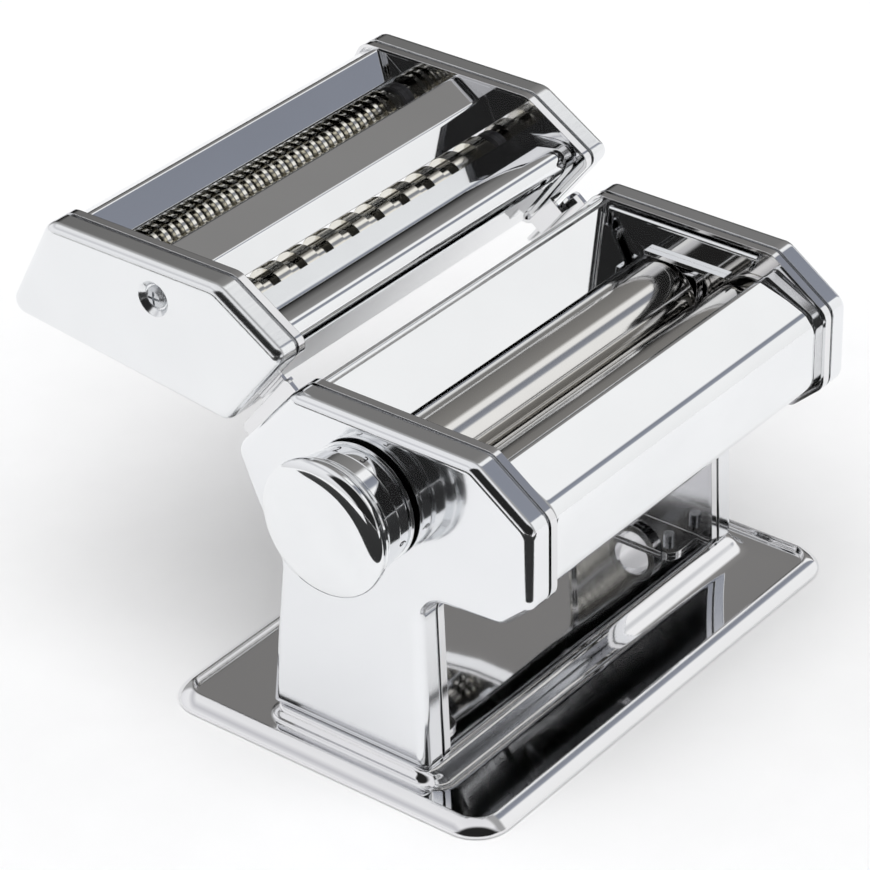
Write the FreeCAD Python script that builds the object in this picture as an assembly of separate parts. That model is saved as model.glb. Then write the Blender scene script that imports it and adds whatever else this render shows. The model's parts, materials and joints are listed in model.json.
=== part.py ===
import FreeCAD, Part
import math
import os

from FreeCAD import Vector

# Pasta roller machine with a cutter head.  Millimetres, +Z up.
# Everything is drawn with x = 0 midway between the side frames and y = 0 in
# the middle of the base; place() moves it to the middle of the whole box.

# ---- driving dimensions ----
roller_half = 71.6       # half the length of the smooth rollers
roller_end_gap = 3.4     # from a roller end to the inner face of a side frame
plate_web = 1.5
sheet = 1.2              # gauge of covers and panels
flange_reach = 3.0       # rim flange of a side frame, measured across x
cover_gap = 1.3          # shadow gap between frame and side cover
cover_depth = 8.7
cover_edge_round = 3.4
cover_lip_step = 2.0     # locating lip, stepped in from the cover's edge
hair = 0.08              # running clearance on radius
air = 0.3                # clearance between parts that pass each other
lap = 1.0                # how far a cutting tool runs past the metal

platform_ledge = 0.4     # platform top beyond the side covers
platform_slope = 1.2
rim_side = 11.4          # breadth of the rim at the left and right
rim_front = 6.3          # breadth of the rim at the front and back
base_half_y = 66.5
base_corner = 13.0
well_corner = 6.7
base_sheet = 1.4
skirt_bottom = 0.6
rim_top = 4.2
floor_top = 3.0
platform_top = 7.5
platform_front = -32.0
platform_rear = 30.0

axle_z = 101.0           # both smooth rollers
drive_y = -43.5
roller_r = 14.0
gap_closed = 0.4
gap_travel = 2.6
journal_r = 6.0
crank_bore_r = 4.1
crank_bore_depth = 16.0

wide_axle_z = 130.8
fine_axle_z = 137.0
wide_front_y = 46.3
fine_front_y = 87.1
cutter_spacing = 15.2
disc_r = 8.0
disc_root_r = 5.8
cutter_journal_r = 5.5
fine_pitch = 4.2
fine_disc = 1.8
fine_sides = 12
wide_pitch = 13.3
wide_disc = 6.35
row_margin = 1.5         # a row of discs stays this far inside the roller length
wide_sides = 16

dial_y = -12.0
dial_z = 102.0
knob_stand = 1.5         # from the side cover to the back of the knob
knob_length = 22.0
knob_r = 23.4
knob_tail_r = 20.5
shaft_r = 5.0
eccentric_r = 8.0

# side outline of the machine body as (y, z, corner radius), anticlockwise
body_outline = [
    (16.5, 129.5, 5.0),
    (-53.5, 129.5, 6.0),
    (-75.5, 114.0, 6.0),
    (-75.5, 86.5, 6.0),
    (-63.5, 75.5, 6.0),
    (-31.5, 73.5, 11.0),
    (-33.5, platform_top, 1.0),
    (30.5, platform_top, 1.0),
    (24.0, 66.0, 15.0),
    (34.0, 86.0, 10.0),
    (40.5, 101.5, 6.0),
]

# side outline of the cutter head
cutter_outline = [
    (45.2, 157.3, 8.0),
    (18.5, 140.6, 4.0),
    (43.5, 109.0, 5.0),
    (136.3, 119.7, 5.0),
    (115.9, 157.3, 6.0),
]

# the cutter head climbs along this line, which leans towards the front
rail_foot = (40.5, 101.5)
rail_lean = math.radians(38.3)

# ---- sizes that follow ----
plate_inner = roller_half + roller_end_gap
plate_face = plate_inner + plate_web
flange_inner = plate_face - flange_reach
cover_start = plate_face + cover_gap
cover_face = cover_start + cover_depth
cover_inside = cover_face - sheet
panel_half = plate_inner
platform_half_x = cover_face + platform_ledge
well_half_x = platform_half_x + platform_slope
well_half_y = base_half_y - rim_front
base_half_x = well_half_x + rim_side
bush_start = roller_half + 0.6
knob_tail = cover_face + knob_stand
knob_front = knob_tail + knob_length
roller_open = 2 * roller_r + gap_closed + gap_travel
adjust_y = drive_y + roller_open
eccentric_throw = gap_travel / 2
eccentric_y = dial_y + eccentric_throw
gear_start = plate_face + 1.7
gear_width = 5.6
drive_end = cover_inside - air
cutter_gear_width = 4.0
wide_rear_y = wide_front_y + cutter_spacing
fine_rear_y = fine_front_y + cutter_spacing
row_length = 2 * (roller_half - row_margin)
# discs of each rear row; its front row has one less and stands in the gaps
fine_count = int((row_length - fine_disc) / fine_pitch) + 1
wide_count = int((row_length - wide_disc) / wide_pitch) + 1


# ---- drawing helpers ----
def unit(dy, dz):
    length = math.hypot(dy, dz)
    return dy / length, dz / length


def tangent_points(before, corner, after):
    """Start, middle and end of the arc that rounds one corner."""
    y, z, radius = corner
    ay, az = unit(before[0] - y, before[1] - z)
    cy, cz = unit(after[0] - y, after[1] - z)
    half = math.acos(max(-1.0, min(1.0, ay * cy + az * cz))) / 2
    run = radius / math.tan(half)
    my, mz = unit(ay + cy, az + cz)
    reach = radius / math.sin(half) - radius
    start = (y + ay * run, z + az * run)
    middle = (y + my * reach, z + mz * reach)
    end = (y + cy * run, z + cz * run)
    return start, middle, end


def outline_face(corners, x):
    """Flat face in the plane x, with each corner rounded by its own radius."""
    points = []
    for i, corner in enumerate(corners):
        if corner[2] > 0:
            following = corners[(i + 1) % len(corners)]
            points.append(tangent_points(corners[i - 1], corner, following))
        else:
            points.append((corner[:2],))
    edges = []
    for i, group in enumerate(points):
        here = [Vector(x, y, z) for y, z in group]
        if len(here) == 3:
            edges.append(Part.Arc(*here).toShape())
        there = points[(i + 1) % len(points)][0]
        edges.append(Part.makeLine(here[-1], Vector(x, there[0], there[1])))
    return Part.Face(Part.Wire(edges))


def slab(corners, x0, x1):
    return outline_face(corners, x0).extrude(Vector(x1 - x0, 0, 0))


def shifted_line(a, b, distance):
    """The line a-b moved to its left by the distance, as point and direction."""
    dy, dz = unit(b[0] - a[0], b[1] - a[1])
    return (a[0] - dz * distance, a[1] + dy * distance), (dy, dz)


def crossing(first, second):
    (ay, az), (uy, uz) = first
    (by, bz), (vy, vz) = second
    across = uy * vz - uz * vy
    if abs(across) < 1e-6:
        return by, bz
    run = ((by - ay) * vz - (bz - az) * vy) / across
    return ay + uy * run, az + uz * run


def moved_corner(before, corner, after, distance):
    """One corner of an outline whose edges all move left by the distance."""
    first = shifted_line(before, corner, distance)
    second = shifted_line(corner, after, distance)
    y, z = crossing(first, second)
    turn = first[1][0] * second[1][1] - first[1][1] * second[1][0]
    if corner[2] == 0:
        return y, z, 0
    return y, z, max(0.3, corner[2] - math.copysign(distance, turn))


def inset(corners, distance):
    """An outline drawn anticlockwise, shrunk by the distance all round."""
    count = len(corners)
    return [
        moved_corner(corners[i - 1], corners[i], corners[(i + 1) % count], distance)
        for i in range(count)
    ]


def sheet_profile(path, gauge):
    """Closed outline of a bent sheet; its thickness lies left of the path."""
    other = []
    for i, corner in enumerate(path):
        if i == 0:
            (y, z), _ = shifted_line(path[0], path[1], gauge)
            other.append((y, z, 0))
        elif i == len(path) - 1:
            y, z = shifted_line(path[-1], path[-2], -gauge)[0]
            other.append((y, z, 0))
        else:
            other.append(moved_corner(path[i - 1], corner, path[i + 1], gauge))
    return path + other[::-1]


def bent_sheet(path, gauge=sheet, half=panel_half):
    return slab(sheet_profile(path, gauge), -half, half)


def notched(panel, outline):
    """Panel with its ends cut away where the rim flanges of the frames pass."""
    rim = pan_ring(outline, -2, sheet, flange_inner, plate_inner + 1)
    return panel.cut(rim).cut(mirrored(rim)).removeSplitter()


def through(shape, radius, y, z, x0=None, x1=None):
    """Shape with a round hole along x; it goes through one whole side unless told."""
    start = flange_inner - sheet - lap if x0 is None else x0
    end = cover_face + lap if x1 is None else x1
    return shape.cut(rod(radius, start, end, y, z))


def rod(radius, x0, x1, y, z):
    return Part.makeCylinder(radius, x1 - x0, Vector(x0, y, z), Vector(1, 0, 0))


def tube(outer, inner, x0, x1, y, z):
    return rod(outer, x0, x1, y, z).cut(rod(inner, x0 - 1, x1 + 1, y, z))


def box(x0, x1, y0, y1, z0, z1):
    return Part.makeBox(x1 - x0, y1 - y0, z1 - z0, Vector(x0, y0, z0))


def turned(profile, y, z):
    """Solid turned about the x direction from (x, radius) points."""
    points = [Vector(x, y, z + radius) for x, radius in profile]
    face = Part.Face(Part.makePolygon(points + points[:1]))
    return face.revolve(Vector(0, y, z), Vector(1, 0, 0), 360)


def many_sided(sides, radius, x0, x1, y, z, turn=0.0):
    """Prism along x with its corners on the given radius."""
    points = []
    for i in range(sides + 1):
        angle = turn + 2 * math.pi * i / sides
        points.append(Vector(x0, y + radius * math.cos(angle), z + radius * math.sin(angle)))
    return Part.Face(Part.makePolygon(points)).extrude(Vector(x1 - x0, 0, 0))


def mirrored(shape):
    return shape.mirror(Vector(0, 0, 0), Vector(1, 0, 0))


def joined(shapes):
    return shapes[0].multiFuse(shapes[1:]).removeSplitter()


def rail_point(along, out):
    """(y, z) of a point measured along the slide rail and out from it."""
    y = rail_foot[0] - math.sin(rail_lean) * along + math.cos(rail_lean) * out
    z = rail_foot[1] + math.cos(rail_lean) * along + math.sin(rail_lean) * out
    return y, z


def rail_strip(along0, along1, out0, out1, x0, x1, round_end=0.0):
    corners = [(along0, out0), (along0, out1), (along1, out1), (along1, out0)]
    return slab([rail_point(*c) + (round_end,) for c in corners], x0, x1)


# ---- base ----
def rounded_wire(half_x, y0, y1, corner, z):
    centres = [
        (half_x - corner, y1 - corner, 0),
        (corner - half_x, y1 - corner, 90),
        (corner - half_x, y0 + corner, 180),
        (half_x - corner, y0 + corner, 270),
    ]
    up = Vector(0, 0, 1)
    arcs = [Part.makeCircle(corner, Vector(x, y, z), up, a, a + 90) for x, y, a in centres]
    edges = []
    for i, arc in enumerate(arcs):
        edges.append(arc)
        start = arc.Vertexes[1].Point
        edges.append(Part.makeLine(start, arcs[(i + 1) % 4].Vertexes[0].Point))
    return Part.Wire(edges)


def rounded_block(half_x, half_y, corner, z0, z1):
    wire = rounded_wire(half_x, -half_y, half_y, corner, z0)
    return Part.Face(wire).extrude(Vector(0, 0, z1 - z0))


rim_round = 2.4
well_draft = 1.0
groove_line = 4.6        # from the front edge of the base
groove_r = 1.5
groove_depth = 0.45
groove_short = 14.0      # how far the groove stops short of the well's sides


def platform_block(grow, z0, z1):
    """Raised middle of the base with sloping sides."""
    foot = platform_slope + grow
    low = rounded_wire(
        platform_half_x + foot, platform_front - foot, platform_rear + foot, 6 + foot, z0
    )
    top = rounded_wire(
        platform_half_x + grow, platform_front - grow, platform_rear + grow, 6 + grow, z1
    )
    return Part.makeLoft([low, top], True, True)


def rounded_top(block, z, radius):
    """Block with the edges of its flat top at height z rounded."""
    return block.makeFillet(radius, [e for e in block.Edges if e.BoundBox.ZMin > z - 0.01])


def inner_rim_edges(pan):
    """Edges where the flat of the rim meets the well."""
    found = []
    for edge in pan.Edges:
        bound = edge.BoundBox
        at_top = bound.ZMin > rim_top - 0.01 and bound.ZMax < rim_top + 0.01
        within = bound.XMax < well_half_x + 0.1 and bound.YMax < well_half_y + 0.1
        if at_top and within and bound.XMin > -well_half_x - 0.1 and bound.YMin > -well_half_y - 0.1:
            found.append(edge)
    return found


def base_plate():
    """Pressed pan: skirt, broad rim, sunk floor and raised platform."""
    outer = rounded_block(base_half_x, base_half_y, base_corner, skirt_bottom, rim_top)
    pan = rounded_top(outer, rim_top, rim_round)
    well_foot = well_corner - well_draft
    well_low = rounded_wire(
        well_half_x - well_draft, well_draft - well_half_y, well_half_y - well_draft,
        well_foot, floor_top
    )
    well_top = rounded_wire(well_half_x, -well_half_y, well_half_y, well_corner, rim_top + 0.1)
    pan = pan.cut(Part.makeLoft([well_low, well_top], True, True))
    pan = pan.makeFillet(0.7, inner_rim_edges(pan))
    pan = pan.fuse(rounded_top(platform_block(0, floor_top - 0.4, platform_top), platform_top, 1.5))
    skirt = base_half_x - base_sheet, base_half_y - base_sheet, base_corner - base_sheet
    under_floor = floor_top - base_sheet
    pan = pan.cut(rounded_block(*skirt, 0, under_floor))
    rim_hollow = rounded_block(*skirt, under_floor, rim_top - base_sheet)
    web = well_half_x + base_sheet, well_half_y + base_sheet, well_corner + base_sheet
    rim_hollow = rim_hollow.cut(rounded_block(*web, 0, rim_top))
    pan = pan.cut(rim_hollow)
    pan = pan.cut(platform_block(-base_sheet, under_floor - 0.4, platform_top - base_sheet))
    return cut_screw_holes(cut_rim_groove(pan)).removeSplitter()


def cut_rim_groove(pan):
    """Shallow pressed line along the front rim."""
    y = groove_line - base_half_y
    sunk = rim_top + groove_r - groove_depth
    ends = well_half_x - groove_short
    tool = Part.makeCylinder(groove_r, 2 * ends, Vector(-ends, y, sunk), Vector(1, 0, 0))
    for x in (-ends, ends):
        tool = tool.fuse(Part.makeSphere(groove_r, Vector(x, y, sunk)))
    return pan.cut(tool)


foot_inset_x = 17.5
foot_inset_y = 16.5
foot_r = 8.0


def rubber_feet():
    top = floor_top - base_sheet
    feet = []
    x = base_half_x - foot_inset_x
    y = base_half_y - foot_inset_y
    for x, y in ((-x, -y), (-x, y), (x, -y), (x, y)):
        feet.append(Part.makeCone(foot_r - 1, foot_r, top, Vector(x, y, 0)))
    return Part.makeCompound(feet)


screw_inset = 8.0        # from the inner face of a side frame
screw_x = plate_inner - screw_inset
screw_ys = (-20.0, 17.0)
screw_shank = 2.0
tab_gauge = 1.5


def cut_screw_holes(shape):
    for x in (-screw_x, screw_x):
        for y in screw_ys:
            hole = Part.makeCylinder(screw_shank + hair, 12, Vector(x, y, 0))
            shape = shape.cut(hole)
    return shape


def base_screws():
    """Screws up through the platform into the foot tabs of the frames."""
    seat = platform_top - base_sheet
    screws = []
    for x in (-screw_x, screw_x):
        for y in screw_ys:
            head = Part.makeCylinder(3.8, 2.2, Vector(x, y, seat - 2.2))
            slot = box(x - 4, x + 4, y - 0.5, y + 0.5, seat - 2.4, seat - 1.2)
            shank = Part.makeCylinder(screw_shank, 6.5, Vector(x, y, seat - 1))
            screws.append(head.cut(slot).fuse(shank))
    return Part.makeCompound(screws)


# ---- side frames and covers ----
tab_reach = 16.0
rail_low = -2.4
rail_high = 28.5
rail_out = 4.7
hook_end = plate_inner - 4.5     # where the hooks of the cutter head reach inwards
window_half_y = 9.0      # bearing block of the adjustable roller
window_half_z = 9.0
clamp_y = -0.7
clamp_z = 24.0
clamp_bore_r = 7.2
clamp_wall = 1.6
clamp_tube_r = clamp_bore_r + clamp_wall
bush_r = 9.0


def pan_ring(outline, near, far, x0, x1):
    """Wall that follows an outline between two insets."""
    return slab(inset(outline, near), x0, x1).cut(slab(inset(outline, far), x0 - 1, x1 + 1))


def frame_plate():
    """Right-hand side frame: web, rim flange, foot tab and slide rail."""
    web = slab(body_outline, plate_inner, plate_face)
    rim = pan_ring(body_outline, 0, sheet, flange_inner, plate_inner)
    tab_end = plate_inner - tab_reach
    tab = box(tab_end, plate_inner, -27, 24, platform_top, platform_top + tab_gauge)
    tab = tab.makeFillet(5, [e for e in tab.Edges if is_upright(e, tab_end)])
    rail_web = rail_strip(rail_low, rail_high, -2.5, rail_out, plate_inner, plate_face, 2.0)
    rail_hook = rail_strip(
        rail_low + 2, rail_high - 2, rail_out - sheet, rail_out, hook_end + 1.9, plate_face
    )
    plate = joined([web, rim, tab, rail_web, rail_hook])
    plate = through(plate, bush_r, drive_y, axle_z)
    window = box(
        flange_inner - lap,
        plate_face + lap,
        adjust_y - window_half_y - gap_travel - air,
        adjust_y + window_half_y + air,
        axle_z - window_half_z - hair,
        axle_z + window_half_z + hair,
    )
    return cut_screw_holes(plate.cut(window))


def is_upright(edge, x):
    bound = edge.BoundBox
    return bound.ZLength > 0.5 and bound.YLength < 0.01 and abs(bound.XMin - x) < 0.01


def left_frame_plate():
    return mirrored(frame_plate())


def right_frame_plate():
    return through(frame_plate(), clamp_tube_r, clamp_y, clamp_z)


def side_cover(outline):
    """Pressed cover, open towards the frame, with a stepped-in locating lip."""
    block = slab(outline, cover_start, cover_face)
    rim = [e for e in block.Edges if e.BoundBox.XMin > cover_face - 0.01]
    block = block.makeFillet(cover_edge_round, rim)
    inner = slab(inset(outline, sheet), cover_start - 1, cover_face - cover_edge_round)
    inner_face = outline_face(inset(outline, cover_edge_round), cover_face - cover_edge_round)
    inner = inner.fuse(inner_face.extrude(Vector(cover_edge_round - sheet, 0, 0)))
    shell = block.cut(inner)
    lip_out = cover_lip_step
    lip_in = cover_lip_step + sheet
    lip = pan_ring(outline, lip_out, lip_in, plate_face, cover_start + sheet)
    seat = pan_ring(outline, sheet / 2, lip_in, cover_start, cover_start + sheet)
    return joined([shell, lip, seat])


dial_bush_r = 8.0
dial_bush_lip = 1.5
crank_hole_r = 7.0
clamp_start = plate_inner - 2.2


def left_side_cover():
    cover = mirrored(side_cover(body_outline))
    return cover.cut(rod(dial_bush_r, -cover_face - lap, -cover_inside + lap, dial_y, dial_z))


def right_side_cover():
    cover = side_cover(body_outline)
    cover = through(cover, clamp_tube_r, clamp_y, clamp_z)
    return through(cover, crank_hole_r, drive_y, axle_z, cover_inside - lap)


def clamp_tube():
    """Lined hole through the right leg for the table clamp."""
    lined = tube(clamp_tube_r, clamp_bore_r, clamp_start, cover_face + 0.6, clamp_y, clamp_z)
    lip = tube(clamp_tube_r + 1.2, clamp_bore_r, clamp_start, plate_inner, clamp_y, clamp_z)
    return lined.fuse(lip).removeSplitter()


def dial_bush():
    bore = shaft_r + hair
    inner = -cover_inside + 1.9
    sleeve = tube(dial_bush_r, bore, -cover_face - 0.9, inner, dial_y, dial_z)
    lip = tube(dial_bush_r + dial_bush_lip, bore, -cover_inside, inner, dial_y, dial_z)
    return sleeve.fuse(lip).removeSplitter()


# ---- body panels ----
def front_cover():
    return bent_sheet([
        (-49.3, 114.8, 0),
        (-52.5, 123.0, 1.8),
        (-73.5, 112.5, 5.0),
        (-73.5, 88.0, 5.0),
        (-64.0, 79.0, 0),
    ])


def hopper_back_panel():
    panel = bent_sheet([(13.7, 128.2, 0), (-1.5, 111.0, 0)])
    hem = rod(1.5, -panel_half, panel_half, 14.0, 127.6)
    return notched(panel.fuse(hem), body_outline)


def rear_cover():
    path = [(23.0, 67.0, 0), (32.2, 86.3, 8.0), (38.2, 101.3, 5.0), (17.2, 126.0, 0)]
    return bent_sheet(path)


guard_top = 126.5
guard_foot = axle_z + roller_r + 0.6
guard_gauge = 1.1


def hopper_guard():
    """Right-hand dough guard: upright sheet with a foot turned over the rollers."""
    corners = [
        (10.4, guard_top, 2.0),
        (-50.0, guard_top, 2.0),
        (-39.0, guard_foot, 1.0),
        (-5.0, guard_foot, 1.0),
    ]
    outside = bush_start + guard_gauge
    upright = slab(corners, bush_start, outside)
    foot = box(bush_start - 2.4, outside, -38.0, -6.0, guard_foot, guard_foot + 1.6)
    bead = rod(0.9, -49.0, 10.0, 0, 0)
    bead = bead.cut(rod(0.4, -50, 11, 0, 0))
    bead.rotate(Vector(0, 0, 0), Vector(0, 0, 1), 90)
    bead.translate(Vector(bush_start + guard_gauge / 2, 0, guard_top))
    ears = [
        box(outside, plate_inner, y, y + 5, guard_top - 6, guard_top - 4.8) for y in (-46, 0)
    ]
    return joined([upright, foot, bead] + ears)


def left_hopper_guard():
    return mirrored(hopper_guard())


def right_hopper_guard():
    return hopper_guard()


def tie_rods():
    places = ((-65.5, 89.0), (19.0, 106.0), (21.5, 78.0), (-36.0, 79.5))
    rods = []
    for y, z in places:
        profile = [
            (-plate_inner, 0),
            (-plate_inner, 3.0),
            (-plate_inner + 7, 3.0),
            (-plate_inner + 8, 2.4),
            (plate_inner - 8, 2.4),
            (plate_inner - 7, 3.0),
            (plate_inner, 3.0),
            (plate_inner, 0),
        ]
        rods.append(turned(profile, y, z))
    return Part.makeCompound(rods)


def scraper_path(axis_y, side):
    """Blade that leans on the lower outside of a roller, clear by the air gap."""
    reach = roller_r + air
    edge_y = axis_y + side * reach * math.cos(math.radians(60))
    edge_z = axle_z - reach * math.sin(math.radians(60))
    path = [(edge_y, edge_z, 0), (edge_y + side * 10.5, edge_z - 5.5, 0)]
    return path[::-side]


def front_scraper():
    return bent_sheet(scraper_path(drive_y, -1), 0.9)


# ---- rollers ----
gear_teeth = 12
gear_root_r = 11.2
gear_tip_r = 16.9


def gear(root_r, tip_r, root_half, tip_half, x0, x1, y, z, turn):
    """Long-toothed gear; the half angles give tooth width at root and tip."""
    points = []
    for i in range(gear_teeth):
        middle = turn + 2 * math.pi * i / gear_teeth
        for radius, angle in (
            (root_r, middle - root_half),
            (tip_r, middle - tip_half),
            (tip_r, middle + tip_half),
            (root_r, middle + root_half),
        ):
            points.append(Vector(x0, y + radius * math.cos(angle), z + radius * math.sin(angle)))
    return Part.Face(Part.makePolygon(points + points[:1])).extrude(Vector(x1 - x0, 0, 0))


def smooth_roller(y, left_end, right_end):
    """Steel roller with a fine groove near each end and a journal at each side."""
    groove = 0.5
    profile = [
        (-left_end, 0),
        (-left_end, journal_r - 0.6),
        (-left_end + 0.6, journal_r),
        (-roller_half, journal_r),
        (-roller_half, roller_r - 0.6),
        (-roller_half + 0.6, roller_r),
        (-roller_half + 2.0, roller_r),
        (-roller_half + 2.0, roller_r - groove),
        (-roller_half + 2.8, roller_r - groove),
        (-roller_half + 2.8, roller_r),
    ]
    right = [(-x, r) for x, r in reversed(profile[2:])]
    profile += right + [(right_end - 0.6, journal_r), (right_end, journal_r - 0.6), (right_end, 0)]
    profile = [p for i, p in enumerate(profile) if i == 0 or p != profile[i - 1]]
    return turned(profile, y, axle_z)


def drive_roller():
    roller = smooth_roller(drive_y, plate_face + 2.0, drive_end)
    socket = rod(crank_bore_r, drive_end - crank_bore_depth, drive_end + lap, drive_y, axle_z)
    return roller.cut(socket)


def adjustable_roller():
    return smooth_roller(adjust_y, plate_face + 0.5, gear_start + gear_width + 0.6)


def roller_gear(y, turn):
    x1 = gear_start + gear_width
    wheel = gear(
        gear_root_r, gear_tip_r, math.radians(8.2), math.radians(2.6), gear_start, x1, y, axle_z, turn
    )
    return wheel.cut(rod(journal_r, gear_start - lap, x1 + lap, y, axle_z))


def drive_gear():
    return roller_gear(drive_y, 0.0)


def adjustable_gear():
    return roller_gear(adjust_y, math.pi / gear_teeth)


def drive_bushes():
    bore = journal_r + hair
    right = tube(bush_r, bore, bush_start, plate_face + 1.0, drive_y, axle_z)
    right = right.fuse(tube(bush_r + 1.2, bore, bush_start, plate_inner, drive_y, axle_z))
    right = right.removeSplitter()
    return Part.makeCompound([mirrored(right), right])


# ---- carriage of the adjustable roller ----
yoke_start = bush_start + 1.0
ring_wall = 2.2
ring_web = 0.8


def yoke():
    """Bearing block that slides in the window of a side frame."""
    slide_gap = hair
    y0 = adjust_y - window_half_y
    y1 = adjust_y + window_half_y
    z0 = axle_z - window_half_z
    z1 = axle_z + window_half_z
    block = box(yoke_start, plate_face + 1.0, y0, y1, z0, z1)
    flange = slab(
        [
            (adjust_y + 8.0, axle_z + 10.0, 2.0),
            (y0 - 3.5, axle_z + 10.0, 2.0),
            (y0 - 3.5, axle_z - 12.0, 2.0),
            (adjust_y - 2.0, axle_z - 19.5, 2.0),
            (adjust_y + 18.0, axle_z - 19.5, 2.0),
            (adjust_y + 18.0, axle_z - 10.5, 2.0),
            (adjust_y + 12.5, axle_z - 6.0, 2.0),
        ],
        yoke_start,
        plate_inner - slide_gap,
    )
    body = joined([block, flange])
    return through(body, journal_r + hair, adjust_y, axle_z)


def right_yoke():
    return yoke()


def left_yoke():
    """Left block, with the slot ring that the eccentric pushes."""
    block = mirrored(yoke())
    half_y = eccentric_r + 0.5
    half_z = eccentric_r + eccentric_throw + air
    x0 = -cover_inside + 2.1
    x1 = -plate_face - 1.0
    ring = stadium(half_y + ring_wall, half_z + ring_wall, x0, x1)
    ring = ring.cut(stadium(half_y, half_z, x0 - lap, x1 - ring_web))
    ring = ring.cut(rod(journal_r + hair, x0 - lap, -flange_inner, adjust_y, axle_z))
    return joined([block, ring])


def stadium(half_y, half_z, x0, x1):
    """Slot shape round the eccentric, longer than it is wide."""
    corners = [
        (eccentric_y + half_y, dial_z + half_z, half_y - 0.01),
        (eccentric_y - half_y, dial_z + half_z, half_y - 0.01),
        (eccentric_y - half_y, dial_z - half_z, half_y - 0.01),
        (eccentric_y + half_y, dial_z - half_z, half_y - 0.01),
    ]
    return slab(corners, x0, x1)


def adjustable_scraper():
    return bent_sheet(scraper_path(adjust_y, 1), 0.9, yoke_start)


# ---- thickness dial ----
def shaft_flat(radius, x0, x1):
    """Round bar with one flat, used for the shaft end and for the knob's bore."""
    bar = rod(radius, x0, x1, dial_y, dial_z)
    top = dial_z + radius - 1.3
    return bar.cut(box(x0 - lap, x1 + lap, dial_y - 9, dial_y + 9, top, top + 9))


def dial_shaft():
    """Shaft of the knob with the eccentric disc at its inner end."""
    disc_end = -cover_inside + 2.7
    disc = rod(eccentric_r, disc_end, disc_end + 4.0, eccentric_y, dial_z)
    collar = rod(shaft_r + 1.6, disc_end - 0.7, disc_end, dial_y, dial_z)
    bar = rod(shaft_r, -knob_tail, disc_end, dial_y, dial_z)
    end = shaft_flat(shaft_r, -cap_step + shaft_short, -knob_tail)
    return joined([disc, collar, bar, end])


hub_r = 12.0
ring_depth = 6.6         # number ring, from the back of the knob
cap_depth = 16.4         # from the back of the knob to the front disc
shaft_short = 1.4
knob_pull_room = 0.2
hub_step = knob_tail + ring_depth
cap_step = knob_tail + cap_depth


def knob_body():
    """Waist and collars of the knob between the number ring and the front disc."""
    waist = knob_r - 2.6
    profile = [
        (-cap_step, 0),
        (-cap_step, knob_r - 2.2),
        (-cap_step + 0.5, knob_r - 1.0),
        (-cap_step + 1.2, knob_r - 0.8),
        (-cap_step + 1.9, knob_r - 1.1),
        (-cap_step + 2.6, knob_r - 2.5),
        (-cap_step + 3.1, knob_r - 3.4),
        (-cap_step + 3.8, knob_r - 3.4),
        (-cap_step + 4.2, waist),
        (-hub_step - 0.7, waist),
        (-hub_step, waist - 0.7),
        (-hub_step, hub_r),
        (-knob_tail - knob_pull_room, hub_r),
        (-knob_tail - knob_pull_room, 0),
    ]
    body = turned(profile, dial_y, dial_z)
    return body.cut(shaft_flat(shaft_r + hair, -cap_step + shaft_short - 0.2, -plate_face))


edge_depth = 3.6         # the crown's rounded edge, along the axis
edge_breadth = 8.4       # and across it


def crown_drop(radius):
    """How far the crown lies behind its middle: nearly flat, then an elliptical edge."""
    flat = 0.5 * (radius / knob_r) ** 2
    beyond = max(0.0, radius - knob_r + edge_breadth) / edge_breadth
    return flat + (edge_depth - 0.5) * (1 - math.sqrt(1 - beyond * beyond))


def knob_front_disc():
    """Domed disc with a broad rounded edge."""
    inward = (17.4, 12.4, edge_breadth, 5.9, 3.9, 2.4, 1.2, 0.4)
    radii = [0.0] + [knob_r - distance for distance in inward]
    profile = [(-knob_front + crown_drop(radius), radius) for radius in radii]
    profile += [
        (-knob_front + edge_depth, knob_r),
        (-knob_front + edge_depth + 0.8, knob_r),
        (-knob_front + edge_depth + 1.3, knob_r - 0.7),
        (-cap_step, knob_r - 2.2),
        (-cap_step, 0),
    ]
    return turned(profile, dial_y, dial_z)


def number_ring():
    """Ring at the back of the knob that carries the numbers."""
    band = knob_tail_r - 0.5
    profile = [
        (-hub_step, hub_r),
        (-hub_step, band - 0.7),
        (-hub_step + 0.5, band),
        (-knob_tail - 2.2, band),
        (-knob_tail - 1.9, band - 1.0),
        (-knob_tail - 1.4, band - 1.0),
        (-knob_tail - 1.2, knob_tail_r),
        (-knob_tail, knob_tail_r),
        (-knob_tail, hub_r),
    ]
    return turned(profile, dial_y, dial_z)


# ---- cutter head ----
cutter_bush_r = 7.2
screw_y = 71.0
screw_z = 144.7
dimple_depth = 1.9
cutter_gear_root = 6.3
cutter_gear_tip = 8.7
hook_out = 7.0
hook_low = 8.0
hook_high = 22.0
core_half = roller_half + 1.0    # reach of the discs' common core


def cutter_axes():
    return (
        (wide_front_y, wide_axle_z),
        (wide_rear_y, wide_axle_z),
        (fine_front_y, fine_axle_z),
        (fine_rear_y, fine_axle_z),
    )


def cutter_plate():
    """Right-hand plate of the cutter head, with the hook that rides the rail."""
    web = slab(cutter_outline, plate_inner, plate_face)
    rim = pan_ring(cutter_outline, 0, sheet, flange_inner, plate_inner)
    outlet = slab(
        [(121.0, 112.0, 0), (121.0, 121.0, 2.0), (50.0, 112.9, 2.0), (50.0, 105.0, 0)],
        flange_inner - lap,
        plate_inner,
    )
    rim = rim.cut(outlet)
    lip_out = rail_out - sheet - 0.6
    span = hook_low, hook_high
    top = rail_strip(*span, hook_out, hook_out + sheet, hook_end, plate_inner)
    wall = rail_strip(*span, lip_out - sheet, hook_out + sheet, hook_end, hook_end + sheet)
    lip = rail_strip(*span, lip_out - sheet, lip_out, hook_end, plate_inner - 0.7)
    plate = joined([web, rim, top, wall, lip])
    for y, z in cutter_axes():
        plate = through(plate, cutter_bush_r, y, z)
    return plate


def cutter_right_plate():
    return cutter_plate()


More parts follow.
